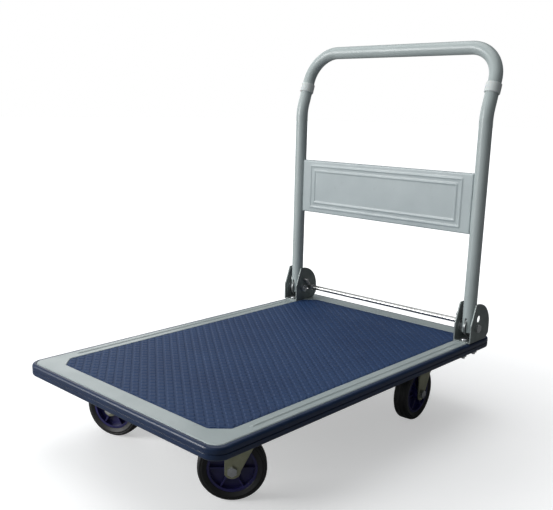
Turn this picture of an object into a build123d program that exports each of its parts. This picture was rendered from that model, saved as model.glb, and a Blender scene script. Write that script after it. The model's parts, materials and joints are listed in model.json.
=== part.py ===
from build123d import *
import os
from math import cos, radians, sin, sqrt, tan

# Flatbed platform truck with a fold-down handle.
# Millimetres, +Z up, +X towards the front (away from the handle), +Y to the left.
# The origin is on the floor, under the middle of the deck.

# ---- driving dimensions: deck -----------------------------------------------------------------
deck_length = 882.0
deck_width = 560.0
sheet = 1.6
skirt_depth = 24.0
deck_corner_radius = 22.0
recess_depth = 2.5
front_border = 40.0
rear_border = 43.0
mat_corner_cut = 28.0
mat_corner_radius = 8.0
mat_thickness = 3.0
mat_clearance = 0.5
bead_width = 8.0
bead_height = 1.6
bead_front_gap = 95.0
bead_bracket_gap = 22.0
bead_round = 1.1

# ---- edge bumper ------------------------------------------------------------------------------
bumper_thickness = 9.0
bumper_top_drop = 1.0
bumper_lip = 4.0
bumper_lip_thickness = 2.0
bumper_round = 5.5
bumper_groove_width = 2.4
bumper_groove_depth = 1.4

# ---- underframe -------------------------------------------------------------------------------
channel_sheet = 2.0
channel_depth = 27.0  # underframe's lowest face to the underside of the border
channel_width = 130.0
channel_end_gap = 10.0  # end of a cross channel inside the edge of the mat
rail_width = 50.0
rail_depth = 22.0
rail_spacing = 220.0
weld_gap = 0.3

# ---- casters ----------------------------------------------------------------------------------
wheel_radius = 65.0
tyre_width = 32.0
tyre_depth = 18.0
tyre_round = 6.0
hub_length = 38.0
hub_radius = 15.0
web_thickness = 8.0
rim_thickness = 5.0
rim_width = 28.0
rib_count = 6
rib_thickness = 3.0
rib_set_back = 2.0  # ribs inside the faces of the rim
rib_root = 0.5  # how far the ribs run into the hub and the rim
caster_front_inset = 170.0  # kingpin axis inside the front edge of the deck
caster_rear_inset = 138.0
caster_side_inset = 93.0
caster_trail = 32.0
swivel_angles = {"front_left": -44.0, "front_right": -70.0, "rear_left": 4.0, "rear_right": 11.0}
axle_radius = 5.0
sleeve_radius = 7.0
running_clearance = 0.06
side_clearance = 0.4
fork_sheet = 3.5
fork_foot_radius = 16.0
fork_front_reach = 14.0
fork_knee_back = 40.0
fork_knee_up = 48.0
fork_straight_up = 44.0
crown_radius = 36.0
crown_sheet = 4.0
crown_gap = 13.0  # top of the wheel to the top of the fork's crown
bearing_height = 14.4  # top of the crown to the underside of the top plate
plate_length = 100.0
plate_width = 78.0
plate_sheet = 3.0
plate_corner_radius = 8.0
plate_bolt_x = 80.0
plate_bolt_y = 58.0
ball_radius = 3.0
ball_circle = 26.0
ball_count = 12
ball_clearance = 0.2
race_wall = 2.5
kingpin_radius = 6.0
kingpin_head_radius = 9.0
kingpin_head_height = 5.0
kingpin_head_round = 2.5
kingpin_hole_clearance = 2.0  # round its head, through the cross channel

# ---- handle -----------------------------------------------------------------------------------
tube_radius = 15.0
tube_wall = 2.0
leg_x = 73.5  # handle legs in front of the deck's rear edge
leg_inset = 13.0  # handle legs inside the deck's side edges
pivot_height = 33.5  # above the deck
leg_end_drop = 12.0
bend_height = 515.0
bend_radius = 100.0
lean_angle = 18.2
joint_rise = 56.0  # bend to the joint between leg and bow
bow_rise = 89.0  # joint to the push bar
bow_radius = 75.0
insert_length = 34.0
insert_clearance = 0.2
collar_length = 22.0
collar_wall = 2.4
collar_clearance = 0.15
collar_round = 1.0
panel_bottom = 249.0
panel_top = 386.0
panel_sheet = 1.5
panel_flange = 12.0
panel_set_forward = 6.0
panel_side_gap = 0.2
panel_bead_end_inset = 26.0  # outer frame inside the ends of the panel
panel_bead_inset = 12.0  # outer frame inside its top and bottom
panel_bead_pitch = 13.0  # outer frame to inner frame
panel_bead_width = 4.5
panel_bead_height = 1.5
panel_corner_radius = 6.0
panel_fold_radius = 3.0
panel_screw_inset = 25.0

# ---- hinge brackets and lock ------------------------------------------------------------------
cheek_sheet = 3.0
bracket_fold_radius = 2.7
leg_side_gap = 4.0  # between a leg and each cheek of its bracket
cheek_radius = 57.0
cheek_front_x = 100.0  # in front of the deck's rear edge, as are the next four
cheek_crest_x = 83.0
cheek_shoulder = 43.0
bracket_rear_x = 30.0
bracket_bolt_x = (38.0, 86.0)
cheek_toe_height = 14.0
window_x = 67.5
window_height = 54.5
window_radius = 8.5
pivot_radius = 5.0
bush_radius = 8.0
bush_end_gap = 1.0
cam_sheet = 5.0
cam_tail = 30.0
lock_bar_radius = 6.0
lock_travel = 6.4
lock_clearance = 0.7  # between the cam plates and the bar when it is pulled back
lock_leg_gap = 0.8  # between a leg and the bar when it is locked
notch_clearance = 0.3
lock_bar_overrun = 8.0
lock_bar_chamfer = 1.0
lock_ring_width = 2.5
lock_ring_gap = 1.0  # between a spring and its ring
spring_post_x = 69.0
spring_post_height = 57.0
spring_post_radius = 3.0
spring_post_length = 11.0
spring_post_rim = 1.5
spring_radius = 3.6
spring_wire = 0.6
spring_offset = 6.0
spring_body_share = 0.6

# ---- fasteners --------------------------------------------------------------------------------
bolt_radius = 4.0
bolt_hole = 4.2
bolt_head_across = 13.0
bolt_head_height = 5.3
nut_height = 6.5
washer_radius = 8.0
washer_thickness = 1.6
dome_radius = 9.0
dome_height = 4.5
dome_round = 3.6
pivot_head_across = 17.0
pivot_head_height = 6.4
pivot_nut_height = 8.0
pivot_stickout = 2.0
head_turn = 30.0  # flats of the pivot and axle heads level
screw_radius = 2.5
screw_head_radius = 4.2
screw_head_height = 2.6
thread_stickout = 5.0

# ---- levels and places that follow from the sizes above -----------------------------------------
crown_to_axle = wheel_radius + crown_gap
crown_top = wheel_radius + crown_to_axle
plate_under = crown_top + bearing_height
plate_top = plate_under + plate_sheet
frame_bottom = plate_top
rim_under = frame_bottom + channel_depth
deck_height = rim_under + sheet
floor_of_recess = deck_height - recess_depth
recess_under = floor_of_recess - sheet
skirt_bottom = deck_height - skirt_depth
rear_edge = -deck_length / 2
leg_plane = rear_edge + leg_x
leg_y = deck_width / 2 - leg_inset
cheek_gap = 2 * (tube_radius + leg_side_gap)
outer_cheek = cheek_gap / 2 + cheek_sheet
side_border = leg_inset + outer_cheek
pivot_z = deck_height + pivot_height
bore_radius = tube_radius - tube_wall
cam_radius = tube_radius + lock_leg_gap + lock_travel - lock_clearance
bar_back = cam_radius + lock_clearance + lock_bar_radius
bar_x = leg_plane - bar_back
joint_height = bend_height + joint_rise
bow_height = joint_height + bow_rise
mat_front = deck_length / 2 - front_border
mat_rear = rear_edge + rear_border
mat_centre = (mat_front + mat_rear) / 2
mat_length = mat_front - mat_rear
mat_width = deck_width - 2 * side_border
channel_length = mat_width - 2 * channel_end_gap
caster_front_x = deck_length / 2 - caster_front_inset
caster_rear_x = rear_edge + caster_rear_inset
caster_y = deck_width / 2 - caster_side_inset
fork_inner = hub_length / 2 + 2 * side_clearance
sides = {"left": 1, "right": -1}

os.makedirs("parts", exist_ok=True)


def save(builder, name):
    """Label the finished piece and write it as its own STEP file."""
    builder.part.label = name
    export_step(builder.part, f"parts/{name}.step")


def hexagon(across, turn=0.0):
    """Regular hexagon of a bolt head or nut, in the current sketch."""
    return RegularPolygon(across / 2, 6, major_radius=False, rotation=turn)


# ---- deck plate: pressed tray with a recess for the mat ------------------------------------------
def mat_outline(grow):
    """Outline of the mat, its corners cut off, grown by the given amount."""
    with BuildSketch(mode=Mode.PRIVATE) as outline:
        Rectangle(mat_length + 2 * grow, mat_width + 2 * grow)
        chamfer(outline.vertices(), mat_corner_cut)
        fillet(outline.vertices(), mat_corner_radius)
    return outline.sketch


bracket_bolts_at = [(rear_edge + x, side * leg_y) for x in bracket_bolt_x for side in sides.values()]
bead_start = rear_edge + cheek_front_x + bead_bracket_gap
bead_end = deck_length / 2 - bead_front_gap
beads_at = [((bead_start + bead_end) / 2, s * (deck_width - side_border) / 2) for s in sides.values()]

with BuildPart() as deck_plate:
    with BuildSketch(Plane.XY.offset(skirt_bottom)):
        RectangleRounded(deck_length, deck_width, deck_corner_radius)
    extrude(amount=skirt_depth)
    with BuildSketch(Plane.XY.offset(skirt_bottom)):
        RectangleRounded(deck_length - 2 * sheet, deck_width - 2 * sheet, deck_corner_radius - sheet)
    extrude(amount=recess_under - skirt_bottom, mode=Mode.SUBTRACT)
    with BuildSketch(Plane.XY.offset(recess_under)):
        RectangleRounded(deck_length - 2 * sheet, deck_width - 2 * sheet, deck_corner_radius - sheet)
        with Locations((mat_centre, 0)):
            add(mat_outline(mat_clearance + sheet), mode=Mode.SUBTRACT)
    extrude(amount=rim_under - recess_under, mode=Mode.SUBTRACT)
    with BuildSketch(Plane.XY.offset(floor_of_recess)):
        with Locations((mat_centre, 0)):
            add(mat_outline(mat_clearance))
    extrude(amount=recess_depth, mode=Mode.SUBTRACT)
    with BuildSketch(Plane.XY.offset(deck_height)):
        with Locations(*beads_at):
            SlotOverall(bead_end - bead_start, bead_width)
    extrude(amount=bead_height)
    fillet(deck_plate.faces().sort_by(Axis.Z)[-2:].edges(), bead_round)
    with Locations(*[(x, y, deck_height) for x, y in bracket_bolts_at]):
        Hole(bolt_hole, depth=sheet)
save(deck_plate, "deck_plate")

with BuildPart() as deck_mat:
    with BuildSketch(Plane.XY.offset(floor_of_recess)):
        with Locations((mat_centre, 0)):
            add(mat_outline(0))
    extrude(amount=mat_thickness)
save(deck_mat, "deck_mat")

# ---- edge bumper: extruded profile pushed over the skirt ------------------------------------------
bumper_bottom = skirt_bottom - bumper_lip_thickness
bumper_height = deck_height - bumper_top_drop - bumper_bottom


def border(grow):
    """Rounded outline of the deck in plan, grown by the given amount."""
    return RectangleRounded(deck_length + 2 * grow, deck_width + 2 * grow, deck_corner_radius + grow)


with BuildPart() as edge_bumper:
    with BuildSketch(Plane.XY.offset(bumper_bottom)):
        border(bumper_thickness)
    extrude(amount=bumper_height)
    fillet(edge_bumper.faces().filter_by(Axis.Z).edges(), bumper_round)
    with BuildSketch(Plane.XY.offset(skirt_bottom)):
        border(0)
    extrude(amount=bumper_height, mode=Mode.SUBTRACT)
    with BuildSketch(Plane.XY.offset(bumper_bottom)):
        border(-bumper_lip)
    extrude(amount=bumper_lip_thickness, mode=Mode.SUBTRACT)
    with BuildSketch(Plane.XY.offset(bumper_bottom + (bumper_height - bumper_groove_width) / 2)):
        border(bumper_thickness)
        add(border(bumper_thickness - bumper_groove_depth), mode=Mode.SUBTRACT)
    extrude(amount=bumper_groove_width, mode=Mode.SUBTRACT)
save(edge_bumper, "edge_bumper")

# ---- underframe: two cross channels for the casters and two rails between them ---------------------
for name, centre_x in (("front_channel", caster_front_x), ("rear_channel", caster_rear_x)):
    with BuildPart() as cross_channel:
        with BuildSketch(Plane.XY.offset(frame_bottom)):
            with Locations((centre_x, 0)):
                Rectangle(channel_width, channel_length)
        extrude(amount=recess_under - frame_bottom)
        with BuildSketch(Plane.XY.offset(frame_bottom + channel_sheet)):
            with Locations((centre_x, 0)):
                Rectangle(channel_width - 2 * channel_sheet, channel_length)
        extrude(amount=recess_under - frame_bottom, mode=Mode.SUBTRACT)
        with Locations(*[(centre_x, s * caster_y, frame_bottom + channel_sheet) for s in sides.values()]):
            Hole(kingpin_head_radius + kingpin_hole_clearance, depth=channel_sheet)
            with GridLocations(plate_bolt_x, plate_bolt_y, 2, 2):
                Hole(bolt_hole, depth=channel_sheet)
    save(cross_channel, name)

rail_front = caster_front_x - channel_width / 2 - weld_gap
rail_rear = caster_rear_x + channel_width / 2 + weld_gap
rails_at = [((rail_front + rail_rear) / 2, s * rail_spacing / 2) for s in sides.values()]
with BuildPart() as deck_rails:
    with BuildSketch(Plane.XY.offset(recess_under - rail_depth)):
        with Locations(*rails_at):
            Rectangle(rail_front - rail_rear, rail_width)
    extrude(amount=rail_depth)
    with BuildSketch(Plane.XY.offset(recess_under - rail_depth + channel_sheet)):
        with Locations(*rails_at):
            Rectangle(rail_front - rail_rear, rail_width - 2 * channel_sheet)
    extrude(amount=rail_depth, mode=Mode.SUBTRACT)
save(deck_rails, "deck_rails")

# ---- backing channels under the hinge brackets ------------------------------------------------------
backing_outer = deck_width / 2 - bumper_lip - weld_gap
backing_inner = mat_width / 2 + mat_clearance + sheet + weld_gap
backing_y = (backing_outer + backing_inner) / 2
backing_width = backing_outer - backing_inner
backing_rear_x = rear_edge + deck_corner_radius
backing_length = cheek_front_x - deck_corner_radius
backings_at = [(backing_rear_x + backing_length / 2, s * backing_y) for s in sides.values()]
with BuildPart() as bracket_backings:
    with BuildSketch(Plane.XY.offset(frame_bottom)):
        with Locations(*backings_at):
            Rectangle(backing_length, backing_width)
    extrude(amount=channel_depth)
    with BuildSketch(Plane.XY.offset(frame_bottom + channel_sheet)):
        with Locations(*backings_at):
            Rectangle(backing_length, backing_width - 2 * channel_sheet)
    extrude(amount=channel_depth, mode=Mode.SUBTRACT)
    with Locations(*[(x, y, frame_bottom + channel_sheet) for x, y in bracket_bolts_at]):
        Hole(bolt_hole, depth=channel_sheet)
save(bracket_backings, "bracket_backings")

# ---- hinge brackets: U-shaped pressings with two half-moon cheeks ------------------------------------
cheek_front = cheek_front_x - leg_x
cheek_foot = bracket_rear_x - leg_x
crest = (cheek_crest_x - leg_x, sqrt(cheek_radius**2 - (cheek_crest_x - leg_x) ** 2))


def xz_plane(x, y, z):
    """Plane seen from the right-hand side: local X runs to the front, local Y up."""
    return Plane(origin=(x, y, z), x_dir=(1, 0, 0), z_dir=(0, -1, 0))


for side_name, side in sides.items():
    bracket_y = side * leg_y
    with BuildPart() as hinge_bracket:
        with BuildSketch(xz_plane(leg_plane, bracket_y, pivot_z)):
            with BuildLine():
                RadiusArc(crest, (-cheek_radius, 0), -cheek_radius)
                Polyline(
                    (-cheek_radius, 0),
                    (-cheek_radius, cheek_toe_height - pivot_height),
                    (cheek_foot, -pivot_height),
                    (cheek_front, -pivot_height),
                    (cheek_front, cheek_shoulder - pivot_height),
                    crest,
                )
            make_face()
        extrude(amount=outer_cheek, both=True)
        with BuildSketch(Plane.XY.offset(deck_height + cheek_sheet)):
            with Locations((leg_plane, bracket_y)):
                Rectangle(4 * cheek_radius, cheek_gap)
        extrude(amount=3 * cheek_radius, mode=Mode.SUBTRACT)
        fillet(hinge_bracket.edges().filter_by(Axis.X).group_by(Axis.Z)[0], bracket_fold_radius)
        with BuildSketch(xz_plane(leg_plane, bracket_y, pivot_z)):
            Circle(pivot_radius + running_clearance)
        extrude(amount=outer_cheek, both=True, mode=Mode.SUBTRACT)
        with BuildSketch(xz_plane(leg_plane, bracket_y + side * outer_cheek, pivot_z)):
            with Locations((window_x - leg_x, window_height - pivot_height)):
                Circle(window_radius)
        extrude(amount=cheek_sheet, both=True, mode=Mode.SUBTRACT)
        with BuildSketch(xz_plane(leg_plane, bracket_y - side * outer_cheek, pivot_z)):
            with Locations((-bar_back + lock_travel / 2, 0)):
                SlotCenterToCenter(lock_travel, 2 * (lock_bar_radius + notch_clearance))
            with Locations((spring_post_x - leg_x, spring_post_height - pivot_height)):
                Circle(spring_post_radius)
        extrude(amount=cheek_sheet, both=True, mode=Mode.SUBTRACT)
        with Locations(*[(rear_edge + x, bracket_y, deck_height + cheek_sheet) for x in bracket_bolt_x]):
            Hole(bolt_hole, depth=cheek_sheet)
    save(hinge_bracket, f"hinge_bracket_{side_name}")

# carriage bolts through bracket, deck and backing channel, with a washer and nut on each
bolt_seat = deck_height + cheek_sheet
nut_top = frame_bottom - washer_thickness
with BuildPart() as bracket_bolts:
    with BuildSketch(Plane.XY.offset(bolt_seat)):
        with Locations(*bracket_bolts_at):
            Circle(dome_radius)
    extrude(amount=dome_height)
    fillet(bracket_bolts.faces().filter_by(Axis.Z).group_by(Axis.Z)[-1].edges(), dome_round)
    with BuildSketch(Plane.XY.offset(nut_top - nut_height - thread_stickout)):
        with Locations(*bracket_bolts_at):
            Circle(bolt_radius)
    extrude(amount=bolt_seat - nut_top + nut_height + thread_stickout)
save(bracket_bolts, "bracket_bolts")

with BuildPart() as bracket_nuts:
    with BuildSketch(Plane.XY.offset(nut_top)):
        with Locations(*bracket_bolts_at):
            Circle(washer_radius)
            Circle(bolt_hole, mode=Mode.SUBTRACT)
    extrude(amount=washer_thickness)
    with BuildSketch(Plane.XY.offset(nut_top - weld_gap - nut_height)):
        with Locations(*bracket_bolts_at):
            hexagon(bolt_head_across)
            Circle(bolt_radius + running_clearance, mode=Mode.SUBTRACT)
    extrude(amount=nut_height)
save(bracket_nuts, "bracket_nuts")

# pivot bolts: heads outside, nuts on the inner cheeks
with BuildPart() as pivot_bolts:
    for side in sides.values():
        with BuildSketch(xz_plane(leg_plane, side * (leg_y + outer_cheek), pivot_z)):
            hexagon(pivot_head_across, head_turn)
        extrude(amount=-side * pivot_head_height)
        with BuildSketch(xz_plane(leg_plane, side * (leg_y + outer_cheek), pivot_z)):
            Circle(pivot_radius)
        extrude(amount=side * (2 * outer_cheek + pivot_nut_height + pivot_stickout))
save(pivot_bolts, "pivot_bolts")

with BuildPart() as pivot_nuts:
    for side in sides.values():
        with BuildSketch(xz_plane(leg_plane, side * (leg_y - outer_cheek), pivot_z)):
            hexagon(pivot_head_across, head_turn)
            Circle(pivot_radius + running_clearance, mode=Mode.SUBTRACT)
        extrude(amount=side * pivot_nut_height)
save(pivot_nuts, "pivot_nuts")

washer_gap = (bush_end_gap - weld_gap) / 2
with BuildPart() as pivot_washers:
    for side in sides.values():
        for face in (1, -1):
            with BuildSketch(xz_plane(leg_plane, side * leg_y + face * cheek_gap / 2, pivot_z)):
                Circle(bore_radius)
                Circle(pivot_radius + running_clearance, mode=Mode.SUBTRACT)
            extrude(amount=face * (bush_end_gap - washer_gap))
save(pivot_washers, "pivot_washers")

# ---- handle: two legs, a leaning bow, a panel between the legs ---------------------------------------
lean = tan(radians(lean_angle))


def on_handle(height):
    """X of the handle's tube axis at a height above the deck."""
    return leg_plane - lean * max(0.0, height - bend_height)


def handle_point(side, height):
    return (on_handle(height), side * leg_y, deck_height + height)


leaning = Vector(-sin(radians(lean_angle)), 0, cos(radians(lean_angle)))
leg_foot = pivot_height - leg_end_drop
screw_heights = (panel_bottom + panel_screw_inset, panel_top - panel_screw_inset)

for side_name, side in sides.items():
    with BuildPart() as leg:
        with BuildLine():
            FilletPolyline(
                handle_point(side, leg_foot),
                handle_point(side, bend_height),
                handle_point(side, joint_height),
                radius=bend_radius,
            )
        with BuildSketch(Plane(origin=handle_point(side, leg_foot), z_dir=(0, 0, 1))):
            Circle(tube_radius)
            Circle(bore_radius, mode=Mode.SUBTRACT)
        sweep()
        with BuildSketch(xz_plane(leg_plane, side * leg_y, pivot_z)):
            Circle(bush_radius)
        extrude(amount=2 * tube_radius, both=True, mode=Mode.SUBTRACT)
        with BuildSketch(xz_plane(leg_plane, side * leg_y, pivot_z)):
            with Locations((0, (cam_radius + lock_clearance - leg_end_drop) / 2)):
                Rectangle(4 * tube_radius, cam_radius + lock_clearance + leg_end_drop)
        extrude(amount=cam_sheet / 2, both=True, mode=Mode.SUBTRACT)
        for height in screw_heights:
            with BuildSketch(xz_plane(leg_plane, side * leg_y, deck_height + height)):
                Circle(screw_radius)
            extrude(amount=side * 2 * tube_radius, mode=Mode.SUBTRACT)
    save(leg, f"handle_leg_{side_name}")

with BuildPart() as handle_bow:
    with BuildLine():
        FilletPolyline(
            handle_point(1, joint_height),
            handle_point(1, bow_height),
            handle_point(-1, bow_height),
            handle_point(-1, joint_height),
            radius=bow_radius,
        )
    with BuildSketch(Plane(origin=handle_point(1, joint_height), z_dir=leaning)):
        Circle(tube_radius)
        Circle(bore_radius - tube_wall - insert_clearance, mode=Mode.SUBTRACT)
    sweep()
    for side in sides.values():
        with BuildSketch(Plane(origin=handle_point(side, joint_height), z_dir=leaning)):
            Circle(bore_radius - insert_clearance)
            Circle(bore_radius - tube_wall - insert_clearance, mode=Mode.SUBTRACT)
        extrude(amount=-insert_length)
save(handle_bow, "handle_bow")

for side_name, side in sides.items():
    with BuildPart() as collar:
        with BuildSketch(Plane(origin=handle_point(side, joint_height), z_dir=leaning)):
            Circle(tube_radius + collar_wall)
            Circle(tube_radius + collar_clearance, mode=Mode.SUBTRACT)
        extrude(amount=collar_length / 2, both=True)
        fillet(collar.edges().group_by(SortBy.LENGTH)[-1], collar_round)
    save(collar, f"collar_{side_name}")

# panel: shallow tray, open to the rear, with two raised frames pressed into its face
panel_height = panel_top - panel_bottom
panel_width = 2 * (leg_y - tube_radius - panel_side_gap)
panel_face = leg_plane + panel_set_forward
panel_middle = deck_height + (panel_top + panel_bottom) / 2


def yz_plane(x, z):
    """Plane seen from the front: local X runs to the left, local Y up."""
    return Plane(origin=(x, 0, z), x_dir=(0, 1, 0), z_dir=(1, 0, 0))


with BuildPart() as handle_panel:
    with BuildSketch(yz_plane(panel_face - panel_flange, panel_middle)):
        Rectangle(panel_width, panel_height)
    extrude(amount=panel_flange)
    fillet(handle_panel.faces().sort_by(Axis.X)[-1].edges(), panel_fold_radius)
    with BuildSketch(yz_plane(panel_face - panel_flange, panel_middle)):
        Rectangle(panel_width - 2 * panel_sheet, panel_height - 2 * panel_sheet)
    extrude(amount=panel_flange - panel_sheet, mode=Mode.SUBTRACT)
    with BuildSketch(yz_plane(panel_face, panel_middle)):
        for step in (0, panel_bead_pitch):
            frame_width = panel_width - 2 * (panel_bead_end_inset + step)
            frame_height = panel_height - 2 * (panel_bead_inset + step)
            RectangleRounded(frame_width, frame_height, panel_corner_radius)
            RectangleRounded(
                frame_width - 2 * panel_bead_width,
                frame_height - 2 * panel_bead_width,
                panel_corner_radius / 2,
                mode=Mode.SUBTRACT,
            )
    extrude(amount=panel_bead_height)
    for height in screw_heights:
        with BuildSketch(xz_plane(leg_plane, 0, deck_height + height)):
            Circle(screw_radius)
        extrude(amount=leg_y, both=True, mode=Mode.SUBTRACT)
save(handle_panel, "handle_panel")

screw_seat = panel_width / 2 - panel_sheet
with BuildPart() as panel_screws:
    for side in sides.values():
        for height in screw_heights:
            with BuildSketch(xz_plane(leg_plane, side * screw_seat, deck_height + height)):
                Circle(screw_head_radius)
            extrude(amount=side * screw_head_height)
            with BuildSketch(xz_plane(leg_plane, side * screw_seat, deck_height + height)):
                Circle(screw_radius)
            extrude(amount=-side * (panel_sheet + panel_side_gap + tube_wall + thread_stickout))
save(panel_screws, "panel_screws")

# cam plates: welded in a slot at the foot of each leg, one notch for upright and one for folded
notch_centre = cam_radius + lock_bar_radius + lock_clearance - lock_travel
for side_name, side in sides.items():
    with BuildPart() as cam_plate:
        with BuildSketch(xz_plane(leg_plane, side * leg_y, pivot_z)):
            Circle(cam_radius)
            with Locations((0, cam_tail / 2)):
                Rectangle(2 * (bore_radius - 2 * insert_clearance), cam_tail)
            Circle(bush_radius, mode=Mode.SUBTRACT)
            for turn in (180, 270):
                with PolarLocations(notch_centre + lock_bar_radius, 1, turn):
                    SlotCenterPoint(
                        (0, 0),
                        (lock_bar_radius, 0),
                        2 * (lock_bar_radius + notch_clearance),
                        mode=Mode.SUBTRACT,
                    )
        extrude(amount=cam_sheet / 2, both=True)
    save(cam_plate, f"cam_plate_{side_name}")

with BuildPart() as pivot_bushes:
    for side in sides.values():
        with BuildSketch(xz_plane(leg_plane, side * leg_y, pivot_z)):
            Circle(bush_radius)
            Circle(pivot_radius + running_clearance, mode=Mode.SUBTRACT)
        extrude(amount=cheek_gap / 2 - bush_end_gap, both=True)
save(pivot_bushes, "pivot_bushes")

# ---- lock bar, its retaining rings, posts and springs --------------------------------------------------
bar_half = leg_y + lock_bar_overrun
with BuildPart() as lock_bar:
    with BuildSketch(xz_plane(bar_x, 0, pivot_z)):
        Circle(lock_bar_radius)
    extrude(amount=bar_half, both=True)
    chamfer(lock_bar.edges().filter_by(GeomType.CIRCLE), lock_bar_chamfer)
save(lock_bar, "lock_bar")

ring_y = leg_y - outer_cheek - spring_offset - spring_radius - lock_ring_gap
with BuildPart() as lock_bar_rings:
    for side in sides.values():
        with BuildSketch(xz_plane(bar_x, side * ring_y, pivot_z)):
            Circle(lock_bar_radius + lock_ring_width)
            Circle(lock_bar_radius, mode=Mode.SUBTRACT)
        extrude(amount=side * washer_thickness)
save(lock_bar_rings, "lock_bar_rings")

post_x = rear_edge + spring_post_x
post_z = deck_height + spring_post_height
with BuildPart() as spring_posts:
    for side in sides.values():
        with BuildSketch(xz_plane(post_x, side * (leg_y - outer_cheek + cheek_sheet), post_z)):
            Circle(spring_post_radius)
        extrude(amount=side * (cheek_sheet + spring_post_length))
        with BuildSketch(xz_plane(post_x, side * (leg_y - outer_cheek - spring_post_length), post_z)):
            Circle(spring_post_radius + spring_post_rim)
        extrude(amount=side * washer_thickness)
save(spring_posts, "spring_posts")

# tension springs: a close-wound body between two straight hook wires
for side_name, side in sides.items():
    spring_y = side * (leg_y - outer_cheek - spring_offset)
    low = Vector(bar_x, spring_y, pivot_z)
    high = Vector(post_x, spring_y, post_z)
    pull = (high - low).normalized()
    reach = (high - low).length
    low_hook = lock_bar_radius + spring_wire + weld_gap
    high_hook = spring_post_radius + spring_wire + weld_gap
    body = spring_body_share * reach
    body_start = (low_hook + reach - high_hook - body) / 2
    with BuildPart() as lock_spring:
        with BuildSketch(Plane(origin=low + pull * body_start, z_dir=pull)):
            Circle(spring_radius)
            Circle(spring_radius - 2 * spring_wire, mode=Mode.SUBTRACT)
        extrude(amount=body)
        with BuildSketch(Plane(origin=low + pull * low_hook, z_dir=pull)):
            with Locations((0, spring_radius - spring_wire)):
                Circle(spring_wire)
        extrude(amount=reach - low_hook - high_hook)
    save(lock_spring, f"lock_spring_{side_name}")

# ---- casters -------------------------------------------------------------------------------------------
caster_places = {
    "front_left": (caster_front_x, caster_y),
    "front_right": (caster_front_x, -caster_y),
    "rear_left": (caster_rear_x, caster_y),
    "rear_right": (caster_rear_x, -caster_y),
}
plate_bolts_at = [
    (x + i * plate_bolt_x / 2, y + j * plate_bolt_y / 2)
    for x, y in caster_places.values()
    for i in (1, -1)
    for j in (1, -1)
]
ball_centre = (crown_top + plate_under) / 2
upper_race = ball_centre + ball_radius + ball_clearance
lower_race = ball_centre - ball_radius - ball_clearance
race_outer = ball_circle + ball_radius + ball_clearance
race_inner = ball_circle - ball_radius - ball_clearance


def ring_section(inner, outer, bottom, top):
    """Rectangle of a turned ring, in a sketch with X radial and Y up from the floor."""
    with Locations(((inner + outer) / 2, (bottom + top) / 2)):
        Rectangle(outer - inner, top - bottom)


def radial_plane(x, y):
    """Plane through a kingpin axis: local X radial, local Y height above the floor."""
    return Plane(origin=(x, y, 0), x_dir=(1, 0, 0), z_dir=(0, -1, 0))


for corner, (x, y) in caster_places.items():
    with BuildPart() as caster_plate:
        with BuildSketch(Plane.XY.offset(plate_under)):
            with Locations((x, y)):
                RectangleRounded(plate_length, plate_width, plate_corner_radius)
        extrude(amount=plate_sheet)
        with BuildSketch(radial_plane(x, y)):
            ring_section(race_inner, race_outer + race_wall, upper_race, plate_under)
            ring_section(race_outer, race_outer + race_wall, ball_centre, plate_under)
        revolve(axis=Axis((x, y, 0), (0, 0, 1)))
        with Locations((x, y, plate_top)):
            Hole(kingpin_radius, depth=plate_sheet)
            with GridLocations(plate_bolt_x, plate_bolt_y, 2, 2):
                Hole(bolt_hole, depth=plate_sheet)
    save(caster_plate, f"caster_plate_{corner}")

kingpin_nut_top = crown_top - crown_sheet - side_clearance
with BuildPart() as kingpins:
    with BuildSketch(Plane.XY.offset(plate_top)):
        with Locations(*caster_places.values()):
            Circle(kingpin_head_radius)
    extrude(amount=kingpin_head_height)
    fillet(kingpins.faces().filter_by(Axis.Z).group_by(Axis.Z)[-1].edges(), kingpin_head_round)
    with BuildSketch(Plane.XY.offset(kingpin_nut_top - nut_height)):
        with Locations(*caster_places.values()):
            Circle(kingpin_radius)
    extrude(amount=plate_top - kingpin_nut_top + nut_height)
save(kingpins, "kingpins")

with BuildPart() as kingpin_nuts:
    with BuildSketch(Plane.XY.offset(kingpin_nut_top - nut_height)):
        with Locations(*caster_places.values()):
            hexagon(pivot_head_across)
            Circle(kingpin_radius, mode=Mode.SUBTRACT)
    extrude(amount=nut_height)
save(kingpin_nuts, "kingpin_nuts")

with BuildPart() as caster_bolts:
    with BuildSketch(Plane.XY.offset(plate_under - bolt_head_height)):
        with Locations(*plate_bolts_at):
            hexagon(bolt_head_across)
    extrude(amount=bolt_head_height)
    with BuildSketch(Plane.XY.offset(plate_under)):
        with Locations(*plate_bolts_at):
            Circle(bolt_radius)
    extrude(amount=plate_sheet + channel_sheet + nut_height + thread_stickout)
save(caster_bolts, "caster_bolts")

with BuildPart() as caster_nuts:
    with BuildSketch(Plane.XY.offset(frame_bottom + channel_sheet)):
        with Locations(*plate_bolts_at):
            hexagon(bolt_head_across)
            Circle(bolt_radius + running_clearance, mode=Mode.SUBTRACT)
    extrude(amount=nut_height)
save(caster_nuts, "caster_nuts")

with BuildPart() as swivel_balls:
    for x, y in caster_places.values():
        with Locations((x, y, ball_centre)):
            with PolarLocations(ball_circle, ball_count):
                Sphere(ball_radius)
save(swivel_balls, "swivel_balls")

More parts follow.
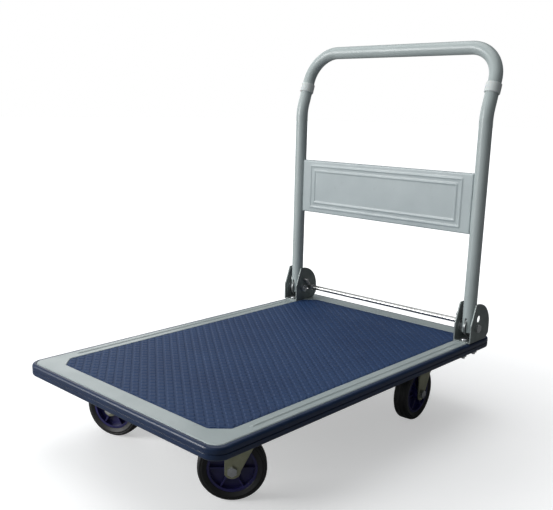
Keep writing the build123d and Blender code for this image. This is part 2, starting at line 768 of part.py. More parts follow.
for corner, (x, y) in caster_places.items():
    turn = radians(swivel_angles[corner])
    ahead = Vector(cos(turn), sin(turn), 0)
    across = Vector(-sin(turn), cos(turn), 0)
    axle = Vector(x, y, wheel_radius) + ahead * caster_trail
    side_view = Plane(origin=axle, x_dir=ahead, z_dir=across * -1)
    end_view = Plane(origin=axle, x_dir=across, z_dir=ahead)

    with BuildPart() as fork:
        with BuildSketch(end_view):
            with BuildLine():
                Polyline(
                    (fork_inner, -fork_foot_radius),
                    (fork_inner + fork_sheet, -fork_foot_radius),
                    (fork_inner + fork_sheet, fork_straight_up),
                    (crown_radius, crown_to_axle - crown_sheet),
                    (crown_radius, crown_to_axle),
                    (0, crown_to_axle),
                    (0, crown_to_axle - crown_sheet),
                    (crown_radius - fork_sheet, crown_to_axle - crown_sheet),
                    (fork_inner, fork_straight_up),
                    close=True,
                )
            make_face()
            mirror(about=Plane.YZ)
        extrude(amount=2 * (caster_trail + crown_radius), both=True)
        with BuildSketch(side_view):
            with BuildLine():
                Polyline(
                    (fork_front_reach, 0),
                    (fork_front_reach, crown_to_axle),
                    (-caster_trail - crown_radius, crown_to_axle),
                    (-caster_trail - crown_radius, crown_to_axle - crown_sheet),
                    (-fork_knee_back, fork_knee_up),
                    (-fork_foot_radius, 0),
                    close=True,
                )
            make_face()
            Circle(fork_foot_radius)
            with Locations((fork_foot_radius, -fork_foot_radius / 2)):
                Rectangle(
                    2 * (fork_foot_radius - fork_front_reach), fork_foot_radius, mode=Mode.SUBTRACT
                )
        extrude(amount=crown_radius, both=True, mode=Mode.INTERSECT)
        with BuildSketch(radial_plane(x, y)):
            ring_section(race_inner - race_wall, race_outer + race_wall, crown_top, lower_race)
            ring_section(race_inner - race_wall, race_inner, crown_top, ball_centre)
        revolve(axis=Axis((x, y, 0), (0, 0, 1)))
        with BuildSketch(side_view):
            Circle(axle_radius)
        extrude(amount=crown_radius, both=True, mode=Mode.SUBTRACT)
        with BuildSketch(Plane.XY.offset(crown_top - crown_sheet)):
            with Locations((x, y)):
                Circle(kingpin_radius + running_clearance)
        extrude(amount=crown_sheet, mode=Mode.SUBTRACT)
    save(fork, f"fork_{corner}")

    fork_outer = fork_inner + fork_sheet
    with BuildPart() as axle_bolt:
        with BuildSketch(side_view.offset(-fork_outer)):
            hexagon(pivot_head_across, head_turn)
        extrude(amount=-pivot_head_height)
        with BuildSketch(side_view.offset(-fork_outer)):
            Circle(axle_radius)
        extrude(amount=2 * fork_outer + pivot_nut_height + pivot_stickout)
        with BuildSketch(side_view.offset(fork_outer)):
            hexagon(pivot_head_across, head_turn)
            Circle(axle_radius + running_clearance, mode=Mode.SUBTRACT)
        extrude(amount=pivot_nut_height)
    save(axle_bolt, f"axle_bolt_{corner}")

    with BuildPart() as axle_sleeve:
        with BuildSketch(side_view):
            Circle(sleeve_radius)
            Circle(axle_radius + running_clearance, mode=Mode.SUBTRACT)
        extrude(amount=fork_inner, both=True)
    save(axle_sleeve, f"axle_sleeve_{corner}")

    axle_line = Axis(axle, across)
    rim_outer = wheel_radius - tyre_depth
    with BuildPart() as wheel_core:
        with BuildSketch(end_view):
            with Locations((0, (sleeve_radius + running_clearance + hub_radius) / 2)):
                Rectangle(hub_length, hub_radius - sleeve_radius - running_clearance)
            with Locations((0, (hub_radius + rim_outer) / 2)):
                Rectangle(web_thickness, rim_outer - hub_radius)
            with Locations((0, rim_outer - rim_thickness / 2)):
                Rectangle(rim_width, rim_thickness)
        revolve(axis=axle_line)
        with BuildSketch(side_view):
            with PolarLocations((hub_radius + rim_outer - rim_thickness) / 2, rib_count):
                Rectangle(rim_outer - rim_thickness - hub_radius + 2 * rib_root, rib_thickness)
        extrude(amount=rim_width / 2 - rib_set_back, both=True)
    save(wheel_core, f"wheel_core_{corner}")

    with BuildPart() as tyre:
        with BuildSketch(end_view):
            with Locations((0, (rim_outer + wheel_radius) / 2)):
                tread = Rectangle(tyre_width, tyre_depth)
            fillet(tread.vertices().group_by(Axis.Y)[-1], tyre_round)
        revolve(axis=axle_line)
    save(tyre, f"tyre_{corner}")
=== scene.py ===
import json
from math import cos, pi, radians, sin

import bmesh
import bpy
import numpy as np
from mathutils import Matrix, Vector


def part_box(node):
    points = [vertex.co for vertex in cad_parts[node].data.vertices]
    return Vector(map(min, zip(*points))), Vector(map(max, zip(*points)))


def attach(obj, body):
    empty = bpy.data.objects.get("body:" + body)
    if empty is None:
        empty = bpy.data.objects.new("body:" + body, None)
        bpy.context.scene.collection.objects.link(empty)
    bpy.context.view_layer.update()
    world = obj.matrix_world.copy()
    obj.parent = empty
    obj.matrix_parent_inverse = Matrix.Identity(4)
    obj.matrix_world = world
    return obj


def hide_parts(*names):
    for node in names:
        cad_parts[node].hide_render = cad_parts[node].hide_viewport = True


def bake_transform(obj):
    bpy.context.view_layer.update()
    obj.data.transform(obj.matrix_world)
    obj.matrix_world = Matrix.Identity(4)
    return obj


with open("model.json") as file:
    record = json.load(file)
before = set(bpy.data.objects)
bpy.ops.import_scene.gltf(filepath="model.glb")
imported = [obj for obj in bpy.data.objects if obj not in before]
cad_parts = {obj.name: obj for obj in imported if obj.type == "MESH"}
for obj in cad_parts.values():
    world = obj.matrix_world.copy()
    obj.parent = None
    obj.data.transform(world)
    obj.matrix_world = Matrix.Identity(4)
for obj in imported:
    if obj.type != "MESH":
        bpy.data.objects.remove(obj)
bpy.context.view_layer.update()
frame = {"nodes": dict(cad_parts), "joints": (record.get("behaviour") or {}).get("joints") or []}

nodes = frame["nodes"]
scene = bpy.context.scene

# ---- camera, floor and light ---------------------------------------------------------------------
# A pale sweep of studio floor under a white surround, which lights the truck more from the front
# right. A broad lamp stands on that side, with a weak one behind it and a soft one overhead.
view = bpy.data.cameras.new("view")
view.lens = 48.93
view.shift_x = 0.0123
view.shift_y = 0.0629
camera = bpy.data.objects.new("camera", view)
camera.location = (1.1792, 1.0837, 0.7112)
camera.rotation_euler = (radians(76.30), radians(-1.178), radians(133.55))
scene.collection.objects.link(camera)
scene.camera = camera
scene.view_settings.view_transform = "Standard"


def soft_lamp(name, place, aim, size, power):
    """Square area lamp at a place, turned towards a point."""
    lamp = bpy.data.lights.new(name, "AREA")
    lamp.size = size
    lamp.energy = power
    holder = bpy.data.objects.new(name, lamp)
    holder.location = place
    holder.rotation_euler = (Vector(aim) - Vector(place)).to_track_quat("-Z", "Y").to_euler()
    scene.collection.objects.link(holder)


soft_lamp("key_lamp", place=(2.9, -2.1, 1.35), aim=(0, 0, 0.35), size=1.7, power=92)
soft_lamp("back_lamp", place=(-1.3, -3.0, 1.5), aim=(0, 0, 0.2), size=1.5, power=9)
soft_lamp("top_lamp", place=(-0.2, -0.4, 3.0), aim=(0, 0, 0.2), size=2.2, power=26)


def wire_up(tree, kind, inputs=None, **settings):
    """Add a node to a tree; each input is given a plain value or another node's output."""
    made = tree.nodes.new(kind)
    for key, value in settings.items():
        setattr(made, key, value)
    for key, value in (inputs or {}).items():
        if isinstance(value, bpy.types.NodeSocket):
            tree.links.new(value, made.inputs[key])
        else:
            made.inputs[key].default_value = value
    return made


world = bpy.data.worlds.new("studio")
scene.world = world
world.use_nodes = True
sky = world.node_tree
sky.nodes.clear()
towards = wire_up(sky, "ShaderNodeTexCoord").outputs["Generated"]
lit_side = (0.62, -0.70, 0.35)
facing = wire_up(sky, "ShaderNodeVectorMath", {0: towards, 1: lit_side}, operation="DOT_PRODUCT")
tent = wire_up(
    sky,
    "ShaderNodeMapRange",
    {
        "Value": facing.outputs["Value"],
        "From Min": -0.35,
        "From Max": 0.9,
        "To Min": 0.08,
        "To Max": 0.62,
    },
)
around = wire_up(
    sky, "ShaderNodeBackground", {"Color": (0.93, 0.97, 1, 1), "Strength": tent.outputs["Result"]}
)
white = wire_up(sky, "ShaderNodeBackground", {"Color": (1, 1, 1, 1), "Strength": 1.0})
camera_ray = wire_up(sky, "ShaderNodeLightPath").outputs["Is Camera Ray"]
surround = wire_up(
    sky, "ShaderNodeMixShader", {0: camera_ray, 1: around.outputs[0], 2: white.outputs[0]}
)
wire_up(sky, "ShaderNodeOutputWorld", {"Surface": surround.outputs[0]})


def finish_of(name, **sockets):
    """Material with one principled shader; the sockets given here stay constant."""
    material = bpy.data.materials.new(name)
    material.use_nodes = True
    shader = material.node_tree.nodes["Principled BSDF"]
    for key, value in sockets.items():
        shader.inputs[key.replace("_", " ")].default_value = value
    return material, material.node_tree, shader


def ramp(tree, factor, *stops):
    """Colour ramp through (position, colour) stops; a colour may be one grey number."""
    made = wire_up(tree, "ShaderNodeValToRGB", {"Fac": factor})
    marks = made.color_ramp.elements
    while len(marks) < len(stops):
        marks.new(0.5)
    for mark, (position, colour) in zip(marks, stops):
        mark.position = position
        mark.color = (*colour, 1) if isinstance(colour, tuple) else (colour, colour, colour, 1)
    return made.outputs["Color"]


def noise(tree, place, scale, detail=3.0, rough=0.5, stretch=(1, 1, 1)):
    """Fractal noise on the piece's own coordinates, which are first multiplied by stretch."""
    laid = wire_up(tree, "ShaderNodeMapping", {"Vector": place, "Scale": stretch})
    return wire_up(
        tree,
        "ShaderNodeTexNoise",
        {"Vector": laid.outputs[0], "Scale": scale, "Detail": detail, "Roughness": rough},
    ).outputs["Fac"]


def mixed(tree, factor, first, second, blend="MIX"):
    """Blend of two colours; each may be an output or a plain colour."""
    made = wire_up(tree, "ShaderNodeMix", data_type="RGBA", blend_type=blend)
    for index, value in ((0, factor), (6, first), (7, second)):
        if isinstance(value, bpy.types.NodeSocket):
            tree.links.new(value, made.inputs[index])
        else:
            made.inputs[index].default_value = value if index == 0 else (*value, 1)
    return made.outputs[2]


floor_paint, tree, shader = finish_of("studio_floor", Roughness=0.75, Emission_Strength=1.0)
place = wire_up(tree, "ShaderNodeTexCoord").outputs["Object"]
cloud = noise(tree, place, scale=1.5)
camera_ray = wire_up(tree, "ShaderNodeLightPath").outputs["Is Camera Ray"]
tint = ramp(tree, cloud, (0.3, 0.70), (0.7, 0.74))
tint = mixed(tree, camera_ray, (0.30, 0.30, 0.30), tint)
tree.links.new(tint, shader.inputs["Base Color"])
far_off = wire_up(tree, "ShaderNodeVectorMath", {0: place}, operation="LENGTH")
faded = wire_up(
    tree,
    "ShaderNodeMapRange",
    {
        "Value": far_off.outputs["Value"],
        "From Min": 0.4,
        "From Max": 2.2,
        "To Min": 0.42,
        "To Max": 1.0,
    },
)
glow = mixed(tree, camera_ray, (0, 0, 0), faded.outputs["Result"])
tree.links.new(glow, shader.inputs["Emission Color"])
floor_half = 30.0
floor_mesh = bpy.data.meshes.new("studio_floor")
floor_corners = floor_half * np.array([[-1, -1, 0], [1, -1, 0], [1, 1, 0], [-1, 1, 0]])
floor_mesh.from_pydata(floor_corners.tolist(), [], [(0, 1, 2, 3)])
floor_mesh.materials.append(floor_paint)
floor = bpy.data.objects.new("studio_floor", floor_mesh)
scene.collection.objects.link(floor)

# ---- deck plate and underframe -------------------------------------------------------------------
# Pressed steel tray with cross channels, rails and bracket backings welded under it, sprayed in
# grey-green enamel: fine orange peel, a faint drift in the tint, and wear at the edges. The
# underframe's copy of the enamel is painted darker, as painted shade under the deck.


def bump(tree, height, distance, strength=1.0, under=None):
    """Bump from a height; under is the normal that it lies on."""
    inputs = {"Height": height, "Distance": distance, "Strength": strength}
    if under is not None:
        inputs["Normal"] = under
    return wire_up(tree, "ShaderNodeBump", inputs).outputs["Normal"]


def eased_edges(tree, radius):
    """Normal rounded over a piece's edges, and a mask of 1 on the edges and 0 elsewhere."""
    rounded = wire_up(tree, "ShaderNodeBevel", {"Radius": radius}, samples=6).outputs["Normal"]
    flat = wire_up(tree, "ShaderNodeNewGeometry").outputs["Normal"]
    agree = wire_up(tree, "ShaderNodeVectorMath", {0: rounded, 1: flat}, operation="DOT_PRODUCT")
    return rounded, ramp(tree, agree.outputs["Value"], (0.86, 1.0), (0.985, 0.0))


def dress(material, *names):
    """Give CAD nodes a finish."""
    for name in names:
        mesh = nodes[name].data
        mesh.materials.clear()
        mesh.materials.append(material)


def enamel(name, paint, shade, edge_radius, peel=0.00005, rough=(0.28, 0.42)):
    """Stove enamel between two close tints, with orange peel, haze, pin specks and rubbed edges."""
    material, tree, shader = finish_of(name, IOR=1.5, Coat_Weight=0.18, Coat_Roughness=0.16)
    place = wire_up(tree, "ShaderNodeTexCoord").outputs["Object"]
    cloud = noise(tree, place, scale=7, detail=4, rough=0.6)
    grime = noise(tree, place, scale=38, detail=5, rough=0.65)
    specks = noise(tree, place, scale=900, detail=2)
    tint = ramp(tree, cloud, (0.32, shade), (0.68, paint))
    tint = mixed(tree, ramp(tree, grime, (0.62, 0.0), (0.78, 0.22)), tint, (0.20, 0.20, 0.18))
    tint = mixed(tree, ramp(tree, specks, (0.70, 0.0), (0.74, 0.35)), tint, (0.12, 0.13, 0.13))
    rounded, edges = eased_edges(tree, edge_radius)
    rubbed = mixed(tree, grime, (0, 0, 0), edges, "MULTIPLY")
    tint = mixed(tree, ramp(tree, rubbed, (0.35, 0.0), (0.75, 0.55)), tint, (0.30, 0.31, 0.30))
    tree.links.new(tint, shader.inputs["Base Color"])
    haze = noise(tree, place, scale=16, detail=4)
    haze = ramp(tree, haze, (0.3, rough[0]), (0.7, rough[1]))
    tree.links.new(haze, shader.inputs["Roughness"])
    fine = noise(tree, place, scale=320, detail=2)
    orange_peel = bump(tree, fine, distance=peel, strength=0.3, under=rounded)
    broad = noise(tree, place, scale=9, detail=2)
    waves = bump(tree, broad, distance=0.0004, strength=0.12, under=orange_peel)
    tree.links.new(waves, shader.inputs["Normal"])
    return material


deck_enamel = enamel(
    "deck_enamel", paint=(0.40, 0.455, 0.45), shade=(0.34, 0.395, 0.395), edge_radius=0.0008
)
deck_lo, deck_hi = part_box("deck_plate")
mat_lo, mat_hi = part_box("deck_mat")
deck_sheet = 0.0016
deck_corner = 0.022
deck_fold = 0.0032
recess_gap = 0.0005
recess_depth = 0.0025
recess_ease = 0.0014
mat_cut = 0.028
mat_corner = 0.008
bead_rise = 0.0016
bead_half_width = 0.004
bead_rear_gap = 0.022
bead_front_gap = 0.095
arc_steps = 8
fold_steps = 7
side_steps = (220, 130)
border_rings = 38
deck_top = deck_hi[2] - bead_rise
deck_middle = np.array([(deck_lo[0] + deck_hi[0]) / 2, (deck_lo[1] + deck_hi[1]) / 2])
deck_half = np.array([deck_hi[0] - deck_lo[0], deck_hi[1] - deck_lo[1]]) / 2
mat_middle = np.array([(mat_lo[0] + mat_hi[0]) / 2, (mat_lo[1] + mat_hi[1]) / 2])
mat_half = np.array([mat_hi[0] - mat_lo[0], mat_hi[1] - mat_lo[1]]) / 2


def raw_mesh(name, points, faces, smooth=False):
    """Mesh from an array of points and an array or list of faces."""
    mesh = bpy.data.meshes.new(name)
    mesh.from_pydata(np.asarray(points, float).tolist(), [], [list(map(int, f)) for f in faces])
    mesh.update()
    mesh.polygons.foreach_set("use_smooth", [smooth] * len(mesh.polygons))
    return mesh


def place_piece(name, mesh, body, slot_name, *replaced):
    """Object at the origin that rides on a body and stands for the CAD nodes named."""
    piece = bpy.data.objects.new(name, mesh)
    scene.collection.objects.link(piece)
    if body:
        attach(piece, body)
    if replaced:
        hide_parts(*replaced)
    return piece


def rounded_corners(outline, radius, count):
    """Arcs that round the corners of a closed outline: each one's centre lies at the radius from
    both of its sides, and it sweeps through the angle by which the outline turns there."""
    along = outline - np.roll(outline, 1, axis=0)
    along /= np.linalg.norm(along, axis=1)[:, None]
    inward = np.c_[-along[:, 1], along[:, 0]]
    turn = np.arccos((along * np.roll(along, -1, axis=0)).sum(axis=1))
    centre = outline - along * (radius * np.tan(turn / 2))[:, None] + radius * inward
    swing = np.linspace(0, 1, count)[None, :, None] * turn[:, None, None]
    spoke = along[:, None] * np.sin(swing) - inward[:, None] * np.cos(swing)
    return centre[:, None] + radius * spoke


def joined_corners(arcs, steps):
    """Closed ring: four rows of corner points with evenly spaced points along the sides between."""
    ring = []
    for index, arc in enumerate(arcs):
        following = arcs[(index + 1) % len(arcs)][0]
        share = np.linspace(0, 1, steps[index % 2] + 2)[1:-1, None]
        ring += [arc, arc[-1] + (following - arc[-1]) * share]
    return np.vstack(ring)


def border_ring(inset):
    """Rounded rectangle of the deck's edge, moved in by inset."""
    half = deck_half - inset
    outline = half * np.array([[1, 1], [-1, 1], [-1, -1], [1, -1]])
    arcs = rounded_corners(outline, deck_corner - inset, 2 * arc_steps)
    return joined_corners(arcs, side_steps) + deck_middle


def cut_corner_ring(grow, steps=side_steps):
    """Rectangle of the mat with its corners cut off at 45 degrees, moved out by grow."""
    half = mat_half + grow
    cut = mat_cut + grow * (2 - 2**0.5)
    quarter = np.array([[half[0], half[1] - cut], [half[0] - cut, half[1]]])
    outline = np.vstack([quarter, quarter[::-1] * (-1, 1), -quarter, quarter[::-1] * (1, -1)])
    arcs = rounded_corners(outline, mat_corner + grow, arc_steps)
    return joined_corners(arcs.reshape(4, 2 * arc_steps, 2), steps) + mat_middle


def stacked_rings(rings):
    """Points and quads of a skin through closed rings of as many points each, and a last cap."""
    count = len(rings[0])
    start = (np.arange(len(rings) - 1) * count)[:, None]
    here = np.arange(count)[None, :]
    after = (here + 1) % count
    quads = np.stack([start + here, start + after, start + count + after, start + count + here], -1)
    cap = list(range((len(rings) - 1) * count, len(rings) * count))
    return np.vstack(rings), [*quads.reshape(-1, 4).tolist(), cap]


def at_height(ring, height):
    """Ring in plan, put at a height."""
    return np.c_[ring, np.broadcast_to(height, len(ring))]


swing = np.linspace(0, pi / 2, fold_steps)
skirt = [at_height(border_ring(0), deck_lo[2])]
fold = [
    at_height(border_ring(deck_fold * (1 - cos(a))), deck_top - deck_fold * (1 - sin(a)))
    for a in swing
]
outer_ring = border_ring(deck_fold)
inner_ring = cut_corner_ring(recess_gap + recess_ease)
bead_y = (deck_hi[1] + mat_hi[1]) / 2
bead_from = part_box("hinge_bracket_left")[1][0] + bead_rear_gap
bead_to = deck_hi[0] - bead_front_gap
bead_middle = (bead_from + bead_to) / 2
bead_half_length = (bead_to - bead_from) / 2
border = []
for share in np.linspace(0, 1, border_rings)[1:]:
    ring = outer_ring + (inner_ring - outer_ring) * share
    past_end = np.abs(ring[:, 0] - bead_middle) - bead_half_length + bead_half_width
    off_line = np.hypot(np.maximum(past_end, 0), np.abs(ring[:, 1]) - bead_y)
    swell = 0.5 * (1 + np.cos(pi * np.minimum(off_line / bead_half_width, 1)))
    border.append(at_height(ring, deck_top + bead_rise * swell))
step = [
    at_height(
        cut_corner_ring(recess_gap + recess_ease * (1 - sin(a))),
        deck_top - recess_ease * (1 - cos(a)),
    )
    for a in swing[1:]
]
recess_level = deck_top - recess_depth
recess = [at_height(cut_corner_ring(gap), recess_level) for gap in (recess_gap, -recess_ease)]
points, faces = stacked_rings(skirt + fold + border + step + recess)
deck_mesh = raw_mesh("deck_plate_pressed", points, faces, True)
deck_mesh.polygons[len(deck_mesh.polygons) - 1].use_smooth = False
deck_mesh.materials.append(deck_enamel)
deck = place_piece("deck_plate_pressed", deck_mesh, "deck", "deck_paint", "deck_plate")
wall = deck.modifiers.new("sheet", "SOLIDIFY")
wall.thickness = deck_sheet
wall.offset = -1
# Deck enamel in darker tints for the channels, rails and backings: painted shade under the deck.
frame_enamel = enamel(
    "frame_enamel", paint=(0.30, 0.34, 0.34), shade=(0.24, 0.28, 0.28), edge_radius=0.0012
)
dress(frame_enamel, "front_channel", "rear_channel", "deck_rails", "bracket_backings")

# ---- deck mat ------------------------------------------------------------------------------------
# Navy PVC sheet cut to the recess and glued down, moulded with low diamond pads whose rows cross
# the deck aslant. The pattern stops a few millimetres short of the cut edges.
pad_pitch = (0.0206, 0.0267)
pad_share = 0.93
pad_top_share = 0.50
pad_rise = 0.0008
pad_sink = 0.0003
mat_level = mat_hi[2] - pad_rise
mat_trim = 0.0035
edge_ease = 0.0008
sheet_rings = [
    at_height(cut_corner_ring(0), mat_lo[2]),
    at_height(cut_corner_ring(0), mat_level - edge_ease),
    at_height(cut_corner_ring(-edge_ease / 4), mat_level - edge_ease / 4),
    at_height(cut_corner_ring(-edge_ease), mat_level),
]
points, faces = stacked_rings(sheet_rings)
faces.append(list(range(len(sheet_rings[0])))[::-1])
sheet = raw_mesh("deck_mat_sheet", points, faces)


def diamond_pads(lo, hi, level):
    """Low diamond frusta on a centred lattice: every second row is moved half a pitch along."""
    count = [int(np.ceil((hi[i] - lo[i]) / pad_pitch[i])) + 1 for i in (0, 1)]
    column, row = np.meshgrid(np.arange(count[0]), np.arange(count[1]), indexing="ij")
    whole = np.stack([column, row], -1).reshape(-1, 2)
    centres = np.vstack([whole, whole + 0.5]) * pad_pitch + (lo[0], lo[1])
    diamond = np.array([[0.5, 0], [0, 0.5], [-0.5, 0], [0, -0.5]]) * pad_pitch
    foot = np.c_[diamond * pad_share, np.full(4, level - pad_sink)]
    top = np.c_[diamond * pad_top_share, np.full(4, level + pad_rise)]
    one = np.vstack([foot, top])
    offsets = np.c_[centres, np.zeros(len(centres))]
    points = (offsets[:, None, :] + one[None, :, :]).reshape(-1, 3)
    sides = [[0, 1, 5, 4], [1, 2, 6, 5], [2, 3, 7, 6], [3, 0, 4, 7]]
    one_faces = np.array([*sides, [4, 5, 6, 7], [3, 2, 1, 0]])
    faces = one_faces[None] + len(one) * np.arange(len(centres))[:, None, None]
    return points, faces.reshape(-1, 4)


pad_points, pad_faces = diamond_pads(mat_lo, mat_hi, mat_level)
pads = bmesh.new()
pads.from_mesh(raw_mesh("pads", pad_points, pad_faces))
ring = cut_corner_ring(-mat_trim, (0, 0))
for here, there in zip(ring, np.roll(ring, -1, axis=0)):
    side = there - here
    everything = pads.verts[:] + pads.edges[:] + pads.faces[:]
    cut = bmesh.ops.bisect_plane(
        pads,
        geom=everything,
        plane_co=(*here, 0),
        plane_no=(side[1], -side[0], 0),
        clear_outer=True,
    )
    open_edges = [e for e in cut["geom_cut"] if isinstance(e, bmesh.types.BMEdge)]
    bmesh.ops.holes_fill(pads, edges=open_edges)
pads.from_mesh(sheet)
mat_mesh = bpy.data.meshes.new("deck_mat_diamonds")
pads.to_mesh(mat_mesh)
pads.free()

mat_vinyl, tree, shader = finish_of("mat_vinyl", IOR=1.34, Sheen_Weight=0.02, Sheen_Roughness=0.5)
place = wire_up(tree, "ShaderNodeTexCoord").outputs["Object"]
dust = noise(tree, place, scale=5, detail=5, rough=0.6)
fleck = noise(tree, place, scale=260, rough=0.6)
tint = ramp(tree, dust, (0.3, (0.006, 0.030, 0.100)), (0.75, (0.012, 0.044, 0.128)))
tint = mixed(tree, ramp(tree, fleck, (0.55, 0.0), (0.8, 0.2)), tint, (0.05, 0.08, 0.15))
tree.links.new(tint, shader.inputs["Base Color"])
tree.links.new(ramp(tree, fleck, (0.3, 0.50), (0.7, 0.66)), shader.inputs["Roughness"])
cells = wire_up(tree, "ShaderNodeTexVoronoi", {"Vector": place, "Scale": 900})
grain = bump(tree, cells.outputs["Distance"], distance=0.0001, strength=0.5)
tree.links.new(grain, shader.inputs["Normal"])
mat_mesh.materials.append(mat_vinyl)
place_piece("deck_mat_diamonds", mat_mesh, "deck", "mat", "deck_mat")

# ---- edge bumper ---------------------------------------------------------------------------------
# Extruded navy PVC strip pushed on round the deck's skirt and bent round its corners.
# Fine drawing marks run along it, and it is a little scuffed in places.
bumper_vinyl, tree, shader = finish_of(
    "bumper_vinyl", IOR=1.42, Coat_Weight=0.05, Coat_Roughness=0.25
)
place = wire_up(tree, "ShaderNodeTexCoord").outputs["Object"]
drawn = noise(tree, place, scale=60, detail=2, stretch=(0.05, 0.05, 14))
scuffs = noise(tree, place, scale=22, detail=5, rough=0.7)
tint = ramp(tree, scuffs, (0.3, (0.004, 0.016, 0.050)), (0.7, (0.008, 0.026, 0.078)))
tint = mixed(tree, ramp(tree, scuffs, (0.66, 0.0), (0.8, 0.3)), tint, (0.05, 0.06, 0.08))
tree.links.new(tint, shader.inputs["Base Color"])
tree.links.new(ramp(tree, scuffs, (0.3, 0.26), (0.7, 0.44)), shader.inputs["Roughness"])
rounded, edges = eased_edges(tree, radius=0.0008)
marks = bump(tree, drawn, distance=0.00015, strength=0.35, under=rounded)
tree.links.new(marks, shader.inputs["Normal"])
dress(bumper_vinyl, "edge_bumper")

# ---- hinge brackets ------------------------------------------------------------------------------
# U-shaped pressings bolted through the deck border: thick sheet with a dark zinc-iron finish,
# mottled, with brighter rubbed edges.


def plated(name, dark, light, rubbed, rough, edge_radius, blotch=30, metallic=0.75):
    """Plated steel: blotches between a dark and a light tint, rubbed edges and fine pits."""
    material, tree, shader = finish_of(name, Metallic=metallic)
    place = wire_up(tree, "ShaderNodeTexCoord").outputs["Object"]
    mottle = noise(tree, place, scale=blotch, detail=5, rough=0.65)
    pits = noise(tree, place, scale=700, rough=0.6)
    rounded, edges = eased_edges(tree, edge_radius)
    tint = ramp(tree, mottle, (0.3, dark), (0.7, light))
    tint = mixed(tree, edges, tint, rubbed)
    tree.links.new(tint, shader.inputs["Base Color"])
    tree.links.new(ramp(tree, mottle, (0.3, rough[0]), (0.75, rough[1])), shader.inputs["Roughness"])
    pitted = bump(tree, pits, distance=0.00005, strength=0.4, under=rounded)
    tree.links.new(pitted, shader.inputs["Normal"])
    return material


bracket_plate = plated(
    "bracket_plate",
    dark=(0.15, 0.175, 0.172),
    light=(0.27, 0.30, 0.295),
    rubbed=(0.45, 0.48, 0.47),
    rough=(0.38, 0.55),
    edge_radius=0.0012,
    metallic=0.45,
)
dress(bracket_plate, "hinge_bracket_left", "hinge_bracket_right")

# ---- fasteners -----------------------------------------------------------------------------------
# Cold-headed bolts, kingpins and screws, with turned nuts, washers, bushes, sleeves and posts,
# and the bearing balls. All are bright zinc or bare steel, a little dulled.
fastener_zinc = plated(
    "fastener_zinc",
    dark=(0.42, 0.43, 0.44),
    light=(0.58, 0.59, 0.60),
    rubbed=(0.75, 0.75, 0.75),
    rough=(0.25, 0.42),
    edge_radius=0.0006,
    blotch=90,
    metallic=0.95,
)
dress(
    fastener_zinc,
    *[n for n in nodes if n.startswith(("axle_bolt", "axle_sleeve"))],
    *("bracket_bolts", "bracket_nuts", "caster_bolts", "caster_nuts", "kingpins", "kingpin_nuts"),
    *("pivot_bolts", "pivot_nuts", "pivot_washers", "pivot_bushes", "swivel_balls"),
    *("spring_posts", "lock_bar_rings", "panel_screws"),
)

# ---- handle tubes --------------------------------------------------------------------------------
# Bent steel tube, 30 mm across: two legs and a bow, stove-enamelled grey-green and joined inside
# the collars. A dark steel cam plate fills the foot of each leg.
handle_enamel = enamel(
    "handle_enamel",
    paint=(0.45, 0.505, 0.50),
    shade=(0.40, 0.455, 0.45),
    edge_radius=0.001,
    peel=0.00003,
    rough=(0.32, 0.44),
)
dress(handle_enamel, "handle_leg_left", "handle_leg_right", "handle_bow")
cam_steel = plated(
    "cam_steel",
    dark=(0.16, 0.17, 0.17),
    light=(0.26, 0.27, 0.27),
    rubbed=(0.45, 0.45, 0.45),
    rough=(0.3, 0.5),
    edge_radius=0.0008,
)
dress(cam_steel, "cam_plate_left", "cam_plate_right")

# ---- collars -------------------------------------------------------------------------------------
# Light grey moulded plastic sleeves, slid over the joints between the legs and the bow.
# They have a fine spark-eroded texture and are a little uneven in tint.
collar_plastic, tree, shader = finish_of("collar_plastic", IOR=1.47, Subsurface_Weight=0.05)
place = wire_up(tree, "ShaderNodeTexCoord").outputs["Object"]
yellowing = noise(tree, place, scale=25, detail=4)
tint = ramp(tree, yellowing, (0.3, (0.60, 0.63, 0.62)), (0.7, (0.68, 0.70, 0.68)))
tree.links.new(tint, shader.inputs["Base Color"])
tree.links.new(ramp(tree, yellowing, (0.3, 0.38), (0.7, 0.5)), shader.inputs["Roughness"])
spark = noise(tree, place, scale=1500, detail=2)
tree.links.new(bump(tree, spark, distance=0.00003, strength=0.5), shader.inputs["Normal"])
dress(collar_plastic, "collar_left", "collar_right")

# ---- handle panel --------------------------------------------------------------------------------
# One pressed sheet screwed between the legs: folded edges all round and two raised frames, one
# inside the other, pressed into its face. Sprayed a shade bluer than the tubes.
panel_lo, panel_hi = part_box("handle_panel")
panel_sheet = 0.0015
panel_fold = 0.003
panel_flange = 0.012
panel_inset = (0.028, 0.014)
panel_second = 0.013
panel_ridge = 0.0018
panel_ridge_half = 0.0034
panel_grid = 0.0017
panel_mid_y = (panel_lo[1] + panel_hi[1]) / 2
panel_mid_z = (panel_lo[2] + panel_hi[2]) / 2
panel_half = np.array([panel_hi[1] - panel_lo[1], panel_hi[2] - panel_lo[2]]) / 2
panel_face_x = panel_hi[0] - panel_ridge


def folded_axis(half, step):
    """Positions across the sheet and how far back each lies: flange, quarter-round fold, flat."""
    turn = np.linspace(0, pi / 2, fold_steps - 1)
    flat = half - panel_fold
    inner = np.linspace(-flat, flat, int(2 * flat / step))[1:-1]
    out = np.r_[half, flat + panel_fold * np.cos(turn)]
    back = np.r_[panel_flange, panel_fold * (1 - np.sin(turn))]
    return np.r_[-out, inner, out[::-1]], np.r_[back, np.zeros(len(inner)), back[::-1]]


across, back_y = folded_axis(panel_half[0], panel_grid)
up, back_z = folded_axis(panel_half[1], panel_grid)
grid_y, grid_z = np.meshgrid(across, up, indexing="ij")
behind = np.maximum(back_y[:, None], back_z[None, :])


